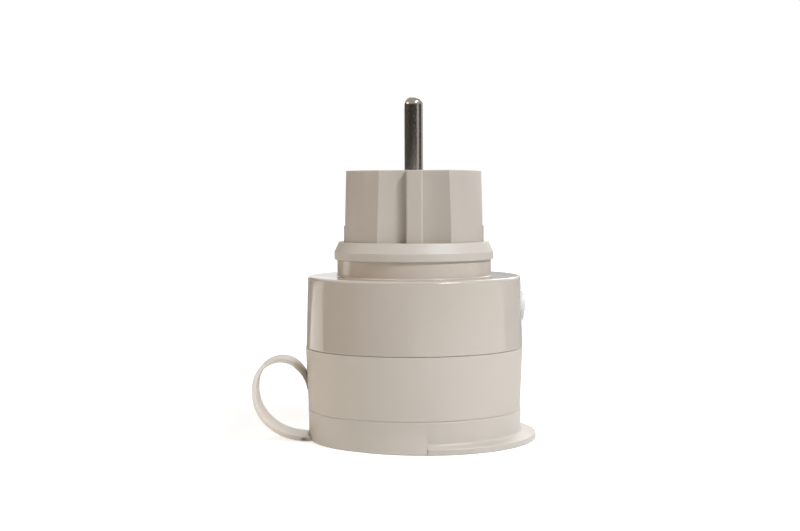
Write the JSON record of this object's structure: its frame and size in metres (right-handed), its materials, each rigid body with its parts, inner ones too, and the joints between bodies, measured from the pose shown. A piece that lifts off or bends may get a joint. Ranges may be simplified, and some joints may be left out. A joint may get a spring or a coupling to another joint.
{
  "type": "smart plug",
  "caption": "Round outdoor smart plug with a rubber-collared plug on top, a power button in its side and a tethered cap over its socket.",
  "frame": {"origin": "centre of the flat outer face of the socket cap, which the plug stands on, on the axis of the round body", "axes": "+Z along the body's axis towards the tips of the plug pins, +X towards the power button and the finger tab, the pins in the YZ plane"},
  "size_m": [0.0755, 0.0594, 0.0902],
  "materials": {
    "gloss_shell": "polished light warm grey",
    "matte_shell": "fine spark-eroded light warm grey",
    "cap_plastic": "fine spark-eroded light warm grey",
    "plug_plastic": "satin light warm grey",
    "collar_rubber": "soft, smooth, light warm grey",
    "strap_rubber": "soft, matte, light warm grey",
    "seal_rubber": "dark grey",
    "pin_nickel": "nickel-plated brass",
    "clip_steel": "nickel-plated spring strip",
    "contact_brass": "bare brass strip",
    "shutter_plastic": "plain moulding",
    "board_laminate": "green solder mask",
    "relay_case": "black moulding",
    "transformer_tape": "yellow winding tape",
    "capacitor_can": "sleeved can",
    "choke_sleeve": "shrink sleeve",
    "radio_can": "tinned shield",
    "led_lens": "milky lens",
    "switch_stem": "plain stem",
    "button_plastic": "grey translucent button",
    "ring_plastic": "milky light ring",
    "screw_steel": "zinc-plated steel"
  },
  "bodies": {
    "housing": {"upper_housing": "gloss_shell", "lower_housing": "matte_shell", "housing_gasket": "seal_rubber", "seal_collar": "collar_rubber", "plug_insert": "plug_plastic", "live_pin": "pin_nickel", "neutral_pin": "pin_nickel", "live_busbar": "contact_brass", "neutral_busbar": "contact_brass", "earth_bridge": "contact_brass", "earth_sleeve": "pin_nickel", "earth_clip_left": "clip_steel", "earth_clip_right": "clip_steel", "earth_link": "contact_brass", "socket_insert": "plug_plastic", "socket_earth_stirrup": "clip_steel", "socket_live_contact": "contact_brass", "socket_neutral_contact": "contact_brass", "shutter_spring": "screw_steel", "shutter_cover": "shutter_plastic", "main_board": "board_laminate", "relay": "relay_case", "transformer": "transformer_tape", "capacitors": "capacitor_can", "choke": "choke_sleeve", "fuse": "choke_sleeve", "radio_module": "radio_can", "status_led": "led_lens", "tact_switch": "relay_case", "light_ring": "ring_plastic", "case_screws": "screw_steel", "insert_screws": "screw_steel", "board_screws": "screw_steel", "strap": "strap_rubber", "strap_anchor": "strap_rubber"},
    "button": {"power_button": "button_plastic", "button_seal": "seal_rubber"},
    "plunger": {"switch_plunger": "switch_stem"},
    "shutter": {"shutter_disc": "shutter_plastic"},
    "strap_end": {"strap_lug": "strap_rubber"},
    "cap": {"socket_cap": "cap_plastic", "cap_seal": "seal_rubber"}
  },
  "joints": [
    {"name": "cap_pull", "type": "slide", "parent": "housing", "child": "strap_end", "axis": [0, 0, -1], "range_m": [0, 0.028], "deforming": ["strap"]},
    {"name": "cap_flip", "type": "hinge", "parent": "strap_end", "child": "cap", "pos_m": [-0.0284, 0, 0], "axis": [0, 1, 0], "range_deg": [0, 110]},
    {"name": "shutter_turn", "type": "hinge", "parent": "housing", "child": "shutter", "pos_m": [0, 0, 0.02855], "axis": [0, 0, 1], "range_deg": [0, 40], "stiffness_Nm_per_rad": 0.002, "springref_deg": -11.46, "deforming": ["shutter_spring"]},
    {"name": "button_press", "type": "slide", "parent": "housing", "child": "button", "axis": [-1, 0, 0], "range_m": [0, 0.00045], "stiffness_N_per_m": 3000},
    {"name": "switch_press", "type": "slide", "parent": "housing", "child": "plunger", "axis": [-1, 0, 0], "range_m": [0, 0.00045]}
  ],
  "couplings": [
    {"joint": "switch_press", "follows": "button_press", "ratio": 1}
  ]
}
